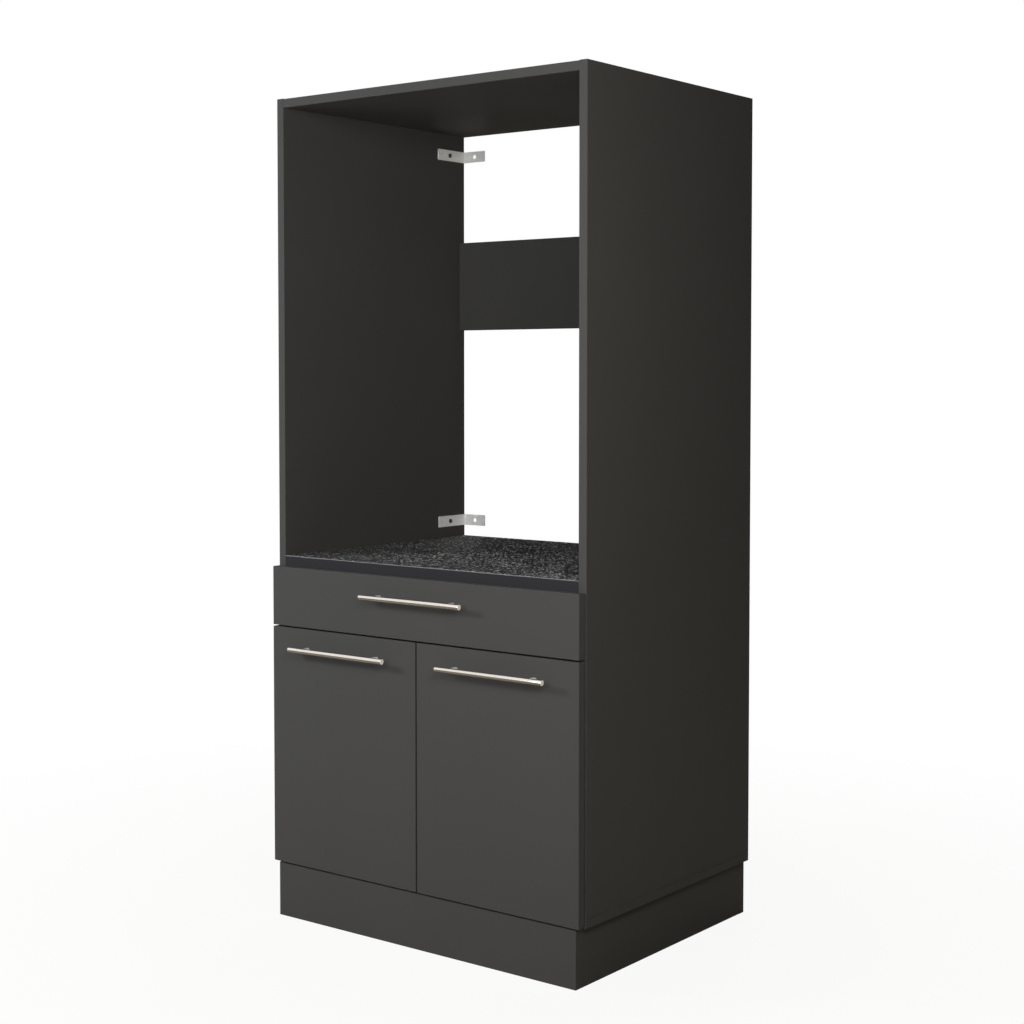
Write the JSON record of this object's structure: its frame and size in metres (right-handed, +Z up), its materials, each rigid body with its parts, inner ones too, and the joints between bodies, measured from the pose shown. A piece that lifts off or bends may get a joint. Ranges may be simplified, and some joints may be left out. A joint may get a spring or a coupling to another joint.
{
  "type": "washing machine cabinet",
  "caption": "Tall anthracite utility cabinet: open appliance niche over a granite-look worktop, a drawer on roller runners, hinged doors with bar handles, wall brackets and a plinth.",
  "frame": {"origin": "on the floor, under the centre of the whole object's box", "axes": "+Z up, +X to the cabinet's right as seen from the front, the fronts face -Y"},
  "size_m": [0.7, 0.5705, 1.516],
  "materials": {
    "anthracite_board": "satin melamine on chipboard",
    "granite_worktop": "speckled granite-look laminate",
    "dark_edging": "plain satin edging strip",
    "hardboard": "painted hardboard",
    "drawer_board": "pale grey melamine",
    "beech": "bare beech",
    "brushed_steel": "brushed along the bar",
    "galvanised_steel": "bright zinc plated",
    "zinc_screws": "zinc plated",
    "runner_enamel": "grey stove enamel",
    "hinge_nickel": "nickel plated",
    "roller_nylon": "moulded nylon",
    "bumper_plastic": "clear soft plastic"
  },
  "bodies": {
    "carcass": {"left_side_panel": "anthracite_board", "right_side_panel": "anthracite_board", "top_panel": "anthracite_board", "bottom_board": "anthracite_board", "worktop": "granite_worktop", "worktop_edging": "dark_edging", "rear_cross_rail": "anthracite_board", "front_rail": "anthracite_board", "lower_back_panel": "hardboard", "shelf": "anthracite_board", "shelf_pins": "zinc_screws", "plinth_front": "anthracite_board", "plinth_rear": "anthracite_board", "plinth_left": "anthracite_board", "plinth_right": "anthracite_board", "plinth_corner_blocks": "beech", "carcass_dowels": "beech", "left_wall_brackets": "galvanised_steel", "right_wall_brackets": "galvanised_steel", "bracket_screws": "zinc_screws", "left_runner_channel": "runner_enamel", "right_runner_channel": "runner_enamel", "channel_axles": "hinge_nickel", "fitting_screws": "zinc_screws", "hinge_plates": "hinge_nickel", "hinge_arms": "hinge_nickel"},
    "drawer": {"drawer_front": "anthracite_board", "drawer_left_side": "drawer_board", "drawer_right_side": "drawer_board", "drawer_back": "drawer_board", "drawer_bottom": "hardboard", "drawer_dowels": "beech", "drawer_left_runner": "runner_enamel", "drawer_right_runner": "runner_enamel", "drawer_axles": "hinge_nickel", "drawer_handle_bar": "brushed_steel", "drawer_handle_posts": "brushed_steel", "drawer_handle_screws": "zinc_screws"},
    "left_door": {"left_door_panel": "anthracite_board", "left_hinge_cups": "hinge_nickel", "left_hinge_pins": "hinge_nickel", "left_bumpers": "bumper_plastic", "left_handle_bar": "brushed_steel", "left_handle_posts": "brushed_steel", "left_handle_screws": "zinc_screws"},
    "right_door": {"right_door_panel": "anthracite_board", "right_hinge_cups": "hinge_nickel", "right_hinge_pins": "hinge_nickel", "right_bumpers": "bumper_plastic", "right_handle_bar": "brushed_steel", "right_handle_posts": "brushed_steel", "right_handle_screws": "zinc_screws"},
    "front_left_roller": {"front_left_roller": "roller_nylon"},
    "front_right_roller": {"front_right_roller": "roller_nylon"},
    "rear_left_roller": {"rear_left_roller": "roller_nylon"},
    "rear_right_roller": {"rear_right_roller": "roller_nylon"}
  },
  "joints": [
    {"name": "drawer_slide", "type": "slide", "parent": "carcass", "child": "drawer", "axis": [0, -1, 0], "range_m": [0, 0.33]},
    {"name": "left_door_hinge", "type": "hinge", "parent": "carcass", "child": "left_door", "pos_m": [-0.3425, -0.25325, 0.32275], "axis": [0, 0, -1], "range_deg": [0, 95]},
    {"name": "right_door_hinge", "type": "hinge", "parent": "carcass", "child": "right_door", "pos_m": [0.3425, -0.25325, 0.32275], "axis": [0, 0, 1], "range_deg": [0, 95]},
    {"name": "front_left_roller_spin", "type": "hinge", "parent": "carcass", "child": "front_left_roller", "pos_m": [-0.329, -0.22975, 0.566], "axis": [1, 0, 0], "range_deg": [0, 2230]},
    {"name": "front_right_roller_spin", "type": "hinge", "parent": "carcass", "child": "front_right_roller", "pos_m": [0.329, -0.22975, 0.566], "axis": [1, 0, 0], "range_deg": [0, 2230]},
    {"name": "rear_left_roller_spin", "type": "hinge", "parent": "drawer", "child": "rear_left_roller", "pos_m": [-0.32625, 0.19575, 0.566], "axis": [1, 0, 0], "range_deg": [0, 2230]},
    {"name": "rear_right_roller_spin", "type": "hinge", "parent": "drawer", "child": "rear_right_roller", "pos_m": [0.32625, 0.19575, 0.566], "axis": [1, 0, 0], "range_deg": [0, 2230]}
  ],
  "couplings": [
    {"joint": "front_left_roller_spin", "follows": "drawer_slide", "rad_per_m": 117.65},
    {"joint": "front_right_roller_spin", "follows": "drawer_slide", "rad_per_m": 117.65},
    {"joint": "rear_left_roller_spin", "follows": "drawer_slide", "rad_per_m": 117.65},
    {"joint": "rear_right_roller_spin", "follows": "drawer_slide", "rad_per_m": 117.65}
  ]
}
